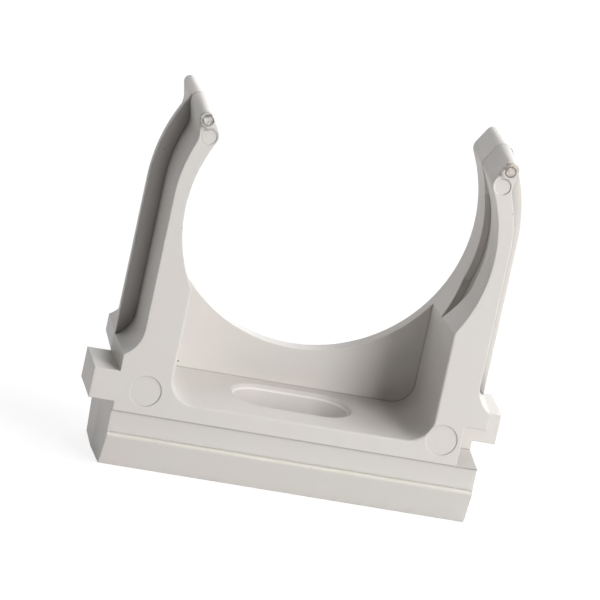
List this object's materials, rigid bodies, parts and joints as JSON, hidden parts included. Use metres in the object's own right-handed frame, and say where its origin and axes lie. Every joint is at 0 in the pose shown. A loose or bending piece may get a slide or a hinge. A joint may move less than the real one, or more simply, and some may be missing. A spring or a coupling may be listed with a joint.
{
  "type": "conduit clip",
  "caption": "Snap-in saddle clip for round conduit: sprung arms with flared lips on a foot with a slotted screw hole, and side tabs that lock clips in a row.",
  "frame": {"origin": "middle of the flat underside of the foot", "axes": "+Z away from the wall, through the mouth between the lips; Y along the conduit with -Y out of the open front of the pocket; +X to the right seen from the front"},
  "size_m": [0.0542, 0.0176, 0.0482],
  "materials": {
    "body": "light warm grey moulded plastic, low sheen"
  },
  "bodies": {
    "root": {"conduit_clip": "body"}
  },
  "joints": []
}
